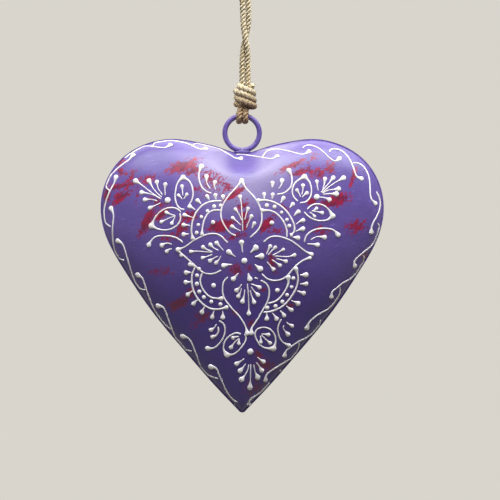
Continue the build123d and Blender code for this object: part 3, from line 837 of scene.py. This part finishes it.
# Strokes: radius of the round head, radius of the line, then x and y of each point from the head on
STROKES = [
    # Rim vine, left side, from the ring down
    (2.1, TOP_LINE, 241, 158.5, 236, 158.3, 231, 155.5, 224, 151.5, 216, 146.5, 208, 143.4, 200, 142.7,
     194, 144.5, 191.5, 146.5),
    (2.0, TOP_LINE, 206, 148.5, 201, 149, 195, 147, 188, 143.8, 180, 141.6, 170, 140.6, 160, 141.8,
     154, 143.8, 152, 147.5),
    (2.2, TOP_LINE, 170.5, 144.8, 166, 147.2, 160, 147.5, 152, 146.4, 143, 146.4, 134, 149, 128, 153.5,
     124.5, 158.5),
    (2.3, LINE, 133, 155, 129, 159.5, 121, 165.5, 113.5, 172.3, 108, 178.3, 106.2, 184, 107, 188.5,
     109.5, 190),
    (2.4, LINE, 116, 177, 114.5, 182, 110.3, 190, 106.2, 200, 103.8, 210, 103.8, 218, 105.2, 223.5,
     109.8, 227),
    (2.5, LINE, 110.5, 208.5, 112.5, 213, 112.3, 221, 111.2, 232, 111.3, 243, 113, 252, 116.3, 258,
     122, 260.3),
    (2.5, LINE, 116, 241, 119.5, 243, 122.5, 249, 125.5, 260, 128.5, 270, 132, 279, 136, 286, 140, 289.3,
     144.5, 289.8),
    (2.6, LINE, 135.5, 275, 139.5, 277.5, 142.5, 283, 145.5, 290.5, 149, 299, 153.5, 309, 160, 318.5,
     166, 325.5, 171.5, 329.5),
    (2.6, LINE, 157.5, 306, 162, 307, 165.5, 312, 168.5, 320, 172, 329, 176, 338.5, 181, 345.5, 186, 349.8,
     192, 351.2),
    (2.6, LINE, 182.5, 336.5, 187, 337.5, 190.8, 341.5, 194, 348.5, 197, 356, 200, 365, 204, 371.5,
     210, 376, 218.5, 378.8),
    (2.8, LINE, 211, 367, 215.5, 368, 218.5, 373, 221.5, 380, 225.5, 389, 229.5, 395.5, 233, 399.5,
     237.5, 402.5),
    # Rim vine, right side
    (1.9, TOP_LINE, 277.5, 156, 273, 158.3, 266, 158.2, 258, 156.8, 251, 155.6, 246, 154.8, 242, 154.2,
     236, 154.6),
    (2.3, TOP_LINE, 309, 151.5, 304.5, 154, 298, 153.5, 290, 151.5, 281, 149.5, 273, 149.2, 266.5, 151.5,
     262, 157.5),
    (2.2, TOP_LINE, 339.5, 158.5, 336, 161, 331, 159, 325, 153.5, 319, 148.5, 312, 145.5, 305.5, 145.8,
     302, 148.2),
    (2.3, LINE, 361.5, 178.7, 357.5, 177, 354.5, 171, 351.5, 163, 347, 155.5, 341, 150.5, 334, 149,
     330.5, 150, 329.5, 152.5),
    (2.2, LINE, 375.5, 203.5, 371.8, 199.5, 370.2, 192, 369.8, 183, 367.8, 173.5, 363, 166.3, 357, 163,
     353, 163),
    (2.4, LINE, 371.3, 232.5, 371.8, 226.5, 375, 219.5, 379, 211, 380.3, 203, 378.8, 196.5, 376.5, 191.5),
    (2.4, LINE, 354.8, 266, 354.3, 262, 357.5, 257.5, 364, 252, 370, 247, 375.5, 240.5, 379, 232,
     379.3, 226.5, 377.8, 223),
    (2.2, LINE, 331.5, 297, 332, 292.5, 336, 288.5, 343, 283, 350, 279, 356, 273.5, 360.5, 268, 363.3, 261,
     363.8, 256.5, 363, 255),
    (2.5, LINE, 307, 328, 309, 323, 313, 318.5, 320, 313.5, 328, 309, 334, 303, 338, 297, 340, 291,
     339.8, 287.5),
    (2.3, LINE, 284.5, 355.5, 286, 351, 290, 347.5, 297, 342.5, 305, 338.5, 312, 333.5, 317, 328.5,
     320, 323, 320.7, 319.5),
    (2.3, LINE, 265.5, 380, 266, 376, 270, 371.5, 277, 367, 286, 361.5, 292, 357.5, 296.3, 352,
     298.6, 346.5, 299, 343), (1.2, LINE, 280.3, 370.8, 281, 372.2),
    (2.3, LINE, 249, 406, 249.3, 401.5, 253, 397.5, 259, 393.5, 265.5, 389, 270.5, 385.5),
    # Curved strokes in threes
    (2.1, LINE, 289, 345.5, 284, 343, 280, 338.5, 278, 332, 278.5, 325, 281.5, 319),
    (2.0, FINE, 292, 326, 289, 324.3, 286.3, 322), (2.3, FINE, 288, 334.5, 285, 331, 283.3, 327, 284, 325),
    (2.5, LINE, 207.5, 348.5, 213, 348.3, 219, 344, 223.5, 337, 225, 330, 223.5, 324, 219, 320.5),
    (2.2, LINE, 212.5, 337, 216, 335.5, 218.5, 331, 218.3, 326.5),
    (2.1, FINE, 211, 330, 214.5, 327.5, 216.5, 323.8),
    (2.5, LINE, 147, 245, 150, 240.5, 154, 237, 161, 235.8, 170, 236.3, 177, 238.5, 182.5, 242.5),
    (2.4, FINE, 160.5, 245.5, 163.5, 243.8, 167, 243.3, 171, 244.5),
    (2.1, FINE, 165.5, 251.5, 168, 249.5, 171, 248.8),
    (2.7, LINE, 338, 235, 334, 230.5, 328, 228.6, 321, 228.5, 313, 230.5, 307, 235, 304.8, 240,
     304.5, 242.5), (2.5, FINE, 324.5, 237.5, 320, 236.8, 315, 237.3, 310.5, 240),
    (2.4, FINE, 317.5, 245, 313, 244.3, 307, 244),
    (2.7, LINE, 201.5, 166.5, 199.5, 171, 198.8, 177, 200, 183, 203, 188.5, 207.5, 192, 211.5, 193.3),
    (2.3, FINE, 206.5, 176.5, 206.5, 181, 208, 185.5, 210.5, 188.8),
    (2.1, FINE, 215, 182, 214.3, 186, 215.8, 189.8),
    (2.6, LINE, 288.8, 170.5, 291, 174.5, 292, 180, 291, 186, 287.5, 190.5, 282.5, 193.5, 277, 194.3),
    (2.3, FINE, 282, 180.5, 281.5, 184.5, 278.5, 188.8), (2.2, FINE, 272.5, 183, 272.3, 188),
    # Leaves with three drops in each
    (2.7, LINE, 183, 177.5, 178.5, 181.5, 175.8, 189, 175, 197, 176.5, 204, 180, 208.5, 184.5, 209.6),
    (2.5, LINE, 183, 177.5, 188.5, 180.5, 192, 186.5, 193, 194, 191, 201.5, 189, 204.5),
    (1.9, FINE, 182, 186.3, 182.4, 191, 182.8, 196), (1.7, FINE, 178.3, 195.3, 180.5, 197.3, 182.3, 199.3),
    (1.8, FINE, 186.8, 194.3, 185, 197, 183.3, 199.3),
    (3.0, LINE, 150.5, 226, 153.5, 219.5, 159, 212.5, 166, 208.5, 173, 207.8, 179, 210.3, 181, 212.5),
    (2.8, LINE, 150.5, 226, 157, 229, 165, 230, 173, 227.8, 178.8, 222.5, 180.3, 217, 179.5, 213),
    (2.0, FINE, 166, 212.5, 170.5, 214.5, 175.3, 215.5), (2.0, FINE, 160.8, 222, 168, 218.5, 175, 215.8),
    (1.9, FINE, 171.3, 223.5, 173.3, 219.5, 175.2, 216),
    (2.8, LINE, 304.5, 176.8, 298.5, 180, 293.8, 185, 292.3, 190.5, 293.5, 196.5, 298, 201.5),
    (2.7, LINE, 304.5, 176.8, 308.8, 181, 311.2, 187, 311.3, 193, 309.3, 198.5, 305.5, 202, 300, 202.8),
    (2.0, FINE, 303, 185.5, 302.8, 190, 301.8, 195), (1.9, FINE, 297, 190.3, 299, 193.5, 301, 197.3),
    (2.0, FINE, 307, 193, 304, 195.3, 302, 197.3),
    (3.0, LINE, 332.5, 216, 329, 210, 323.5, 205.5, 317, 204, 311, 205.8, 307, 209.5),
    (2.8, LINE, 332.5, 216, 328.5, 219.3, 321.5, 220.8, 314, 219.5, 308, 216, 304, 211.8),
    (1.8, FINE, 316.5, 208.5, 314, 210.5, 311.5, 211.3), (1.9, FINE, 322.3, 213, 317, 211.8, 312, 211),
    (1.7, FINE, 314.5, 216.3, 312, 213.8, 309.5, 212),
    (2.9, LINE, 227, 355, 223.8, 350, 223.8, 344.5, 227, 338.5, 232, 334.5, 237.5, 333, 241, 334.2),
    (2.6, LINE, 227, 355, 233, 354.3, 239, 350, 244, 343.5, 246, 337.5, 244.5, 333.8),
    (2.0, FINE, 233, 338, 236, 336.8, 239, 336.5), (2.1, FINE, 231, 347.5, 234.5, 342.5, 238, 339),
    (1.9, FINE, 238.8, 343.5, 239, 340.5, 238.8, 338),
    (2.9, LINE, 273.5, 348.5, 266.5, 348.3, 260.5, 345.5, 256.8, 340, 255, 333.5, 256.8, 329.6,
     262.5, 327.2),
    (2.8, LINE, 273.5, 348.5, 275.5, 342.5, 275, 336, 271.5, 330.5, 266.5, 327.8, 262, 327.2),
    (2.0, FINE, 268.5, 334.8, 265, 334.3, 261, 334), (2.0, FINE, 270, 343.2, 265.5, 339, 261.3, 335),
    (1.9, FINE, 260.8, 342.3, 260.8, 338.5, 260.3, 335.5),
    # Fans of seven drops
    (2.7, FINE, 135.5, 181, 141, 184.5, 150, 191.5, 161, 199),
    (2.6, FINE, 149, 181, 152, 186.5, 157, 193, 162, 197.5), (2.2, FINE, 156.8, 182, 158, 188, 162.5, 195),
    (2.2, FINE, 165.3, 184.5, 164.8, 190, 165, 195.5),
    (2.3, FINE, 141.5, 192.5, 147, 193.3, 155, 195.8, 160, 198.8),
    (2.3, FINE, 144.5, 199.8, 151, 199.5, 157.5, 201), (2.3, FINE, 149.5, 208, 154.5, 205.8, 160.5, 202.8),
    (2.6, FINE, 343.5, 178, 337, 181.5, 329, 187, 321.5, 193.3),
    (2.3, FINE, 333.3, 177.8, 330, 182, 325.5, 187, 321, 192.5),
    (2.2, FINE, 325, 179, 324.3, 184, 322.5, 190), (2.0, FINE, 316.8, 181.5, 317.3, 186, 318.3, 191),
    (2.4, FINE, 338.8, 189, 333, 189.5, 326.5, 191, 322.5, 193.5),
    (2.7, FINE, 336.3, 194, 330, 193.8, 323, 194.3), (2.3, FINE, 329.5, 199.8, 324.5, 197.8, 319.5, 197.3),
    (2.4, FINE, 236.5, 364, 240.5, 361.5, 244.5, 358.5), (2.5, FINE, 240, 371, 243, 367.5, 245.8, 363.5),
    (2.7, FINE, 241.5, 379.5, 245, 375, 247.8, 369.5, 248.8, 364.5),
    (2.9, FINE, 250, 387.5, 250.3, 380, 250.5, 372, 250.8, 364),
    (2.7, FINE, 257.8, 377.5, 255, 371.5, 253.8, 364.5),
    (2.4, FINE, 261.8, 370.5, 258.8, 366, 256.3, 362.3),
    (2.3, FINE, 263.5, 361.8, 260, 359.5, 257.3, 356.8),
    # Upper petal
    (2.3, LINE, 241.8, 180.5, 237.5, 186, 231.5, 192.5, 226, 199.5, 222.3, 206, 220.8, 213.5, 222.3, 221,
     226, 228, 231, 233.5, 236, 235.8),
    (2.3, LINE, 241.8, 180.5, 245.5, 187.5, 250.5, 193, 256, 199.5, 260, 207, 261.8, 215, 261.3, 223,
     257.5, 230.5, 250, 237.5), (2.0, FINE, 240, 196.5, 241, 202, 241.8, 212, 242.5, 222, 242.8, 231),
    (1.9, FINE, 235.3, 209.3, 238.5, 213.5, 241.8, 220.5), (1.9, FINE, 232.5, 218, 237, 221.5, 241, 225.5),
    (2.0, FINE, 232, 226.5, 236.5, 229, 241, 231), (1.9, FINE, 248, 208.5, 246.5, 213, 244.8, 220),
    (2.0, FINE, 251.5, 216.3, 249, 221, 246.3, 228), (2.0, FINE, 254.3, 223.5, 252.8, 226, 251.8, 228.5),
    # Left petal
    (2.4, LINE, 177, 249.8, 184, 247, 192, 241.5, 200, 237.3, 208, 234.2, 215, 233.8, 220.5, 235.8,
     224.5, 239.5, 227.8, 242.8),
    (1.6, LINE, 178, 251.5, 183.5, 256, 190, 261.5, 197, 267.5, 202.5, 272, 209, 274, 215.5, 273,
     221.5, 270), (2.1, FINE, 190.5, 251.8, 197, 251.3, 204, 251.8, 212, 252.2),
    (2.1, FINE, 203, 247.3, 207, 249.5, 213, 252), (2.2, FINE, 210.3, 244.8, 213.5, 247.8, 218.5, 250.5),
    (2.2, FINE, 216.5, 243, 220, 246.5, 223.5, 250.5), (1.9, FINE, 202.5, 258, 207, 256.5, 212.5, 254.5),
    (2.1, FINE, 210, 261, 213.5, 258.5, 218, 256), (2.1, FINE, 216, 263, 219, 259.5, 220.8, 256),
    # Right petal
    (2.3, LINE, 311.5, 254.5, 305, 251, 298.5, 246, 291.5, 241, 284.5, 238, 276, 236.3, 269.5, 237.5,
     263.5, 242),
    (1.9, LINE, 310, 258, 305, 259.5, 298, 264, 292, 270, 286.5, 276.5, 279.5, 280, 272, 280.3, 266, 277.8,
     261.8, 273.8), (2.0, FINE, 294.5, 255.2, 289, 256.5, 282, 256.5, 274, 256),
    (2.0, FINE, 270.3, 246.3, 268.3, 250, 266.3, 254.5), (2.0, FINE, 275.3, 247.5, 271.5, 251, 268, 255),
    (1.7, FINE, 283.5, 249.5, 278, 252.5, 272.5, 255.3), (2.0, FINE, 286, 261.5, 281.5, 260, 276.5, 258.8),
    (2.0, FINE, 279.8, 265.5, 276, 262.5, 271.5, 259.5),
    (2.0, FINE, 273.5, 269.5, 270.5, 266, 266.8, 261.5),
    # Lower petal
    (2.5, LINE, 247.2, 333.2, 246, 328, 243.8, 323, 239.5, 316.5, 233.5, 310, 227.5, 303, 223.5, 296,
     222.5, 288.5, 224, 281.5, 228, 276.8),
    (2.5, LINE, 251.3, 333.2, 251.5, 329, 253.5, 325, 258, 318.5, 262.5, 310.5, 267, 302.5, 269, 295.5,
     268.8, 288.5, 265.5, 283, 260.5, 280.3), (0.8, FINE, 255.3, 278, 258, 278.8),
    (2.3, FINE, 248.8, 313.5, 248.8, 306, 248.5, 297, 247.8, 288, 247.3, 283.5),
    (2.2, FINE, 236.5, 290.5, 239.5, 287.5, 241.8, 284), (2.1, FINE, 238.3, 296.5, 240.5, 292, 241.5, 288),
    (2.4, FINE, 242.5, 301.5, 244, 296, 244.8, 289.5),
    (2.1, FINE, 259.5, 287.5, 255.5, 285.5, 250.8, 283.8), (2.2, FINE, 258, 295, 254.5, 291.5, 251, 286.5),
    (2.3, FINE, 254, 302.3, 252, 297, 250, 290),
    # Eight drops round the middle
    (2.6, FINE, 241.5, 242.3, 242, 247, 242.5, 252.5), (3.0, FINE, 255.8, 247.8, 253.5, 250, 250, 252.8),
    (3.0, FINE, 261.5, 256.3, 258, 256.5, 254.5, 256.8),
    (2.9, FINE, 260.3, 269, 257.5, 266.8, 254.5, 264.3), (2.7, FINE, 249.8, 279, 248.8, 276, 248.3, 272.8),
    (2.5, FINE, 233.3, 279, 236, 276, 238.5, 272.8), (2.7, FINE, 223.8, 265.8, 228, 264.8, 232.5, 264.5),
    (2.7, FINE, 228.8, 252, 232, 254.5, 235.8, 257),
    # Upper left arches and their drops
    (2.0, 0.85, 192.5, 238.5, 191.3, 232, 191.8, 224.5, 193.8, 217, 197.5, 210.5, 203, 205, 210, 201.8,
     217, 201, 222, 201),
    (2.0, 0.8, 202, 234, 202.5, 227, 204.5, 219.5, 208, 213.5, 213, 210.5, 222.5, 210.3),
    (2.2, FINE, 183, 234.5, 189, 234), (2.2, FINE, 183.3, 225, 190, 225.5),
    (2.2, FINE, 184.3, 215, 188.5, 216.3, 193, 217.5), (2.2, FINE, 189.5, 206.5, 192.5, 208, 195.5, 209.8),
    (2.2, FINE, 197.5, 200.5, 199.5, 202.3, 201.3, 204), (2.1, FINE, 207, 196.3, 209.3, 200),
    (2.0, FINE, 215.3, 195, 216, 199.8), (2.0, FINE, 223, 196.3, 223.3, 200.2),
    # Upper right
    (2.0, 0.85, 258.5, 200.3, 266, 200.3, 274, 202.3, 281.5, 206.5, 287.5, 212.5, 292, 219.5, 294.5, 227,
     293.5, 232.5, 290.8, 235.2),
    (2.1, 0.8, 262.5, 210.5, 269, 210.5, 275.5, 213, 281, 218, 285, 224.5, 286.8, 231, 286.8, 237.5),
    (2.0, FINE, 264, 194, 264.3, 199.3), (2.0, FINE, 272.8, 194.5, 271.8, 199.5),
    (2.2, FINE, 283.5, 198, 280.5, 203), (2.2, FINE, 292.8, 204.3, 289.5, 208),
    (2.4, FINE, 298.3, 212, 296, 213.5, 293.8, 216), (2.4, FINE, 303, 220.5, 299.5, 221.8, 295.8, 224.5),
    (2.5, FINE, 303, 229, 299, 230, 295.3, 231.5), (2.4, FINE, 298, 238, 295, 237.5, 292.5, 237.3),
    (2.0, 1.4, 291, 235.2, 289.8, 235.6),
    # Lower left
    (2.1, 0.85, 226.5, 307.5, 220, 309, 211.5, 308.8, 203.5, 304.5, 197, 297.5, 193, 289.5, 191.5, 281,
     192.3, 273, 195, 267),
    (2.1, 0.8, 221.5, 298.5, 215, 298.3, 209.5, 296.5, 204.5, 291.5, 201, 285, 200.5, 278, 202.5, 272.5),
    (2.3, 1.0, 189.5, 264.5, 196, 266.5), (2.4, FINE, 185.5, 272.7, 191, 272.5),
    (2.4, FINE, 185.3, 282.3, 191, 282), (2.3, FINE, 187.5, 294.8, 190, 292.5, 193, 290.5),
    (2.3, FINE, 193.5, 303.8, 196, 301, 198.5, 299.3), (2.3, FINE, 202, 312.3, 203.3, 309, 204.8, 306.3),
    (2.3, FINE, 212.3, 317.3, 213.3, 313, 214.5, 310), (2.3, FINE, 222.8, 317.5, 222.8, 313, 222.5, 310.5),
    # Lower right
    (2.3, 0.85, 296, 268.8, 297.8, 275.5, 297.5, 283.5, 294.5, 291.5, 290, 298.5, 284, 305, 276.5, 309.5,
     269, 311.8, 263, 312.3),
    (2.4, 0.8, 288.3, 277.5, 288.3, 283, 285.5, 290, 281, 296.5, 275, 301.5, 268, 303.5),
    (2.6, FINE, 306, 275, 299.8, 275), (2.3, FINE, 306.3, 284, 299.8, 284),
    (2.4, FINE, 303.5, 293.3, 300, 292, 297, 290.8), (2.5, FINE, 298, 303.5, 294.5, 301.8, 291, 300.3),
    (2.3, FINE, 291.3, 310, 288.5, 308, 286, 305.5), (2.3, FINE, 284, 315.5, 282, 312.5, 279.8, 310.5),
    (2.3, FINE, 276.5, 318.8, 274.3, 315.5, 272, 312.8),
    (2.3, FINE, 266.8, 318.8, 266.8, 315.5, 266.5, 312.8),
]
# Dots: x and y of the middle, radius
DOTS = [
    (244.3, 260.8, 3.0), (167.5, 200.3, 3.0), (316.8, 197, 2.9), (250.3, 351.7, 3.2), (180.5, 255.3, 2.0),
    (199, 269, 1.9), (196.5, 232.8, 2.0), (198.3, 224.8, 1.7), (201.5, 217, 1.8), (207.5, 211, 1.8),
    (214, 206.5, 2.0), (220.5, 205.5, 1.8), (213, 222.3, 2.1), (266.8, 205.5, 2.1), (274.5, 206.8, 2.0),
    (281.5, 212.5, 1.7), (287, 219.8, 1.8), (289.3, 226, 2.0), (271.8, 222.8, 2.3), (196.8, 275.5, 2.0),
    (196.8, 284, 2.2), (199.3, 291.8, 2.1), (203.8, 297.3, 2.0), (211.3, 301.8, 1.9), (220.5, 304.3, 2.0),
    (213.5, 285.5, 2.4), (293.3, 278.3, 2.0), (291.5, 287, 1.8), (287, 295, 1.9), (282.3, 301.8, 2.0),
    (275.5, 306.3, 2.1), (267.3, 307.8, 2.1), (277.3, 290.3, 2.3),
]
SECTION = 12
STROKE_STEP = 0.58
BEAD_SHARE = 0.36
BEAD_LEAST = 0.14
BEAD_SUNK = 0.18
LEAST_SEEN = 0.42
DOT_SHARE = 0.46
DOT_SECTION = 16


def flowing_line(points, step):
    """Cubic spline through the points, its ends along the first and last chord, in even steps."""
    line = clamped_cubic(points, unit(points[1] - points[0]), unit(points[-1] - points[-2]), 24)
    return even_steps(np.vstack([line, points[-1]]), step, fewest=5)


def eased(rows):
    """Rows with the jitter of their neighbours taken out, both ends kept."""
    for _ in range(6):
        middle = (rows[:-2] + 2 * rows[1:-1] + rows[2:]) / 4
        rows = np.vstack([rows[:1], middle, rows[-1:]])
    return rows


def stroke_grid(head, thin, points, chance):
    """A squeezed stroke: round head of radius head, falling away to a line of radius thin.

    Half width w at s from the head's far end is sqrt(head^2 - (head - s)^2) up to the head's middle and
    thin + (head - thin) exp(-((s - head) / (1.15 head))^1.6) after it. The bead stands BEAD_SHARE w and
    BEAD_LEAST mm high, and its foot is sunk by BEAD_SUNK. On the steep rim it spreads wider down the
    slope, so that the view still shows it w wide.
    """
    back = points[0] - unit(points[1] - points[0]) * head
    line, along = flowing_line(np.vstack([back, points]), STROKE_STEP)
    before = np.sqrt(np.clip(head**2 - (head - along) ** 2, 0.0, None))
    after = thin + (head - thin) * np.exp(-((np.clip(along - head, 0, None) / (1.15 * head)) ** 1.6))
    width = np.where(along < head, before, after)
    left = along[-1] - along
    tail = min(1.6 * thin + 0.4, along[-1] / 4)
    width = width * np.sqrt(np.clip(1 - (1 - np.clip(left / tail, 0, 1)) ** 2, 0, 1))
    width = width * (1 + 0.05 * np.sin(along * chance.uniform(0.5, 0.9) + chance.uniform(0, 6)))
    width = np.maximum(width, 0.02)[:, None] * MM_PER_POINT
    x, z = point_on_front(line)
    normal = eased(dome_normal(x, z))
    middle = np.stack([x, -dome_depth(x, z), z], -1)
    tangent = unit(np.gradient(eased(middle), axis=0))
    side = unit(np.cross(normal, tangent))
    normal = np.cross(tangent, side)
    angle = np.arange(SECTION) * 2 * np.pi / SECTION
    above = (width * BEAD_SHARE + BEAD_LEAST) * np.sin(angle)
    below = BEAD_SUNK * np.minimum(width / 0.4, 1) * np.sin(angle)
    lift = np.where(np.sin(angle) > 0, above, below)
    seen = np.maximum(np.hypot(side[:, 0], side[:, 2]), LEAST_SEEN)[:, None]
    spread = width / seen * np.cos(angle)
    grid = middle[:, None, :] + spread[..., None] * side[:, None, :] + lift[..., None] * normal[:, None, :]
    grid[0] = middle[0] + (grid[0] - middle[0]) * 0.2
    return grid, middle[0], middle[-1]


def dot_grid(px, py, radius):
    """A round bead: half an ellipsoid of that radius, DOT_SHARE of it high, its foot just sunk."""
    x, z = point_on_front([(px, py)])
    normal = dome_normal(x, z)[0]
    middle = np.array([x[0], -dome_depth(x, z)[0], z[0]])
    side = unit(np.cross(normal, [0, 0, 1.0]))
    up = np.cross(side, normal)
    angle = (np.arange(DOT_SECTION) * 2 * np.pi / DOT_SECTION)[None, :, None]
    rise = np.radians(np.linspace(82, -6, 7))[:, None, None]
    radius = radius * MM_PER_POINT
    ring = np.cos(angle) * side + np.sin(angle) * up
    grid = middle + radius * (np.cos(rise) * ring + DOT_SHARE * np.sin(rise) * normal)
    return grid, middle + radius * DOT_SHARE * normal, middle - 0.2 * normal


def add_piping():
    """All strokes and dots of the front as one mesh."""
    chance = np.random.default_rng(11)
    beads = [stroke_grid(head, thin, np.reshape(line, (-1, 2)), chance) for head, thin, *line in STROKES]
    beads += [dot_grid(*dot) for dot in DOTS]
    parts = [closed_grid(*bead) for bead in beads]
    add_piece("front_piping", *joined(parts), piped_paste(), "painted_iron", "heart")


add_piping()

# Ring, its weld and the seam

for node in ("hanging_ring", "seam_bead", "ring_weld"):
    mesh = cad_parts[node].data
    mesh.materials.clear()
    mesh.materials.append(PLAIN_ENAMEL)


# Stage

PALE = "#d9d5cc"


def add_stage():
    """Pale floor well below the ornament, under a plain pale surround."""
    side = 2.6
    floor_z = -0.95
    corners = [(-side, -side, floor_z), (side, -side, floor_z), (side, side, floor_z), (-side, side, floor_z)]
    mesh = bpy.data.meshes.new("floor")
    mesh.from_pydata(corners, [], [(0, 1, 2, 3)])
    mesh.materials.append(pale_paper("pale_paper", PALE))
    linked("floor", mesh)


def add_lamp(name, place, aim, width, height, power, colour="#ffffff"):
    """Oblong soft lamp at a place, turned to an aim."""
    data = bpy.data.lights.new(name, "AREA")
    data.shape = "RECTANGLE"
    data.size = width
    data.size_y = height
    data.energy = power
    data.color = linear(colour)[:3]
    lamp = linked(name, data)
    lamp.location = place
    lamp.rotation_euler = (Vector(aim) - Vector(place)).to_track_quat("-Z", "Y").to_euler()


def add_surround():
    """Even surround: dim as light, pale where it is seen or mirrored."""
    world = bpy.data.worlds.new("surround")
    bpy.context.scene.world = world
    world.use_nodes = True
    tree = world.node_tree
    tree.nodes.clear()
    light = add_node(tree, "Background", Color="#eef1ff", Strength=0.08)
    shown = add_node(tree, "Background", Color=PALE, Strength=1.0)
    both = add_node(tree, "MixShader", _0=seen_straight(tree), _1=light.outputs[0], _2=shown.outputs[0])
    add_node(tree, "OutputWorld", Surface=both.outputs[0])


add_stage()
add_surround()
# Name, place, aim, width, height, watts and colour of each lamp
add_lamp("high_window", (0.08, -0.54, 0.80), (0, 0, -0.19), 2.2, 0.6, 38, "#f1f5ff")
add_lamp("rear_window", (0.05, 0.34, 0.88), (0, 0, -0.17), 2.0, 0.9, 18, "#f9f9ff")
add_lamp("low_fill", (-0.7, -1.2, -0.1), (0, 0, -0.2), 0.8, 0.8, 0.4)
add_lamp("rear_fill", (0.5, 1.3, 0.0), (0, 0, -0.2), 0.9, 0.9, 4)

bpy.context.scene.view_settings.view_transform = "Standard"
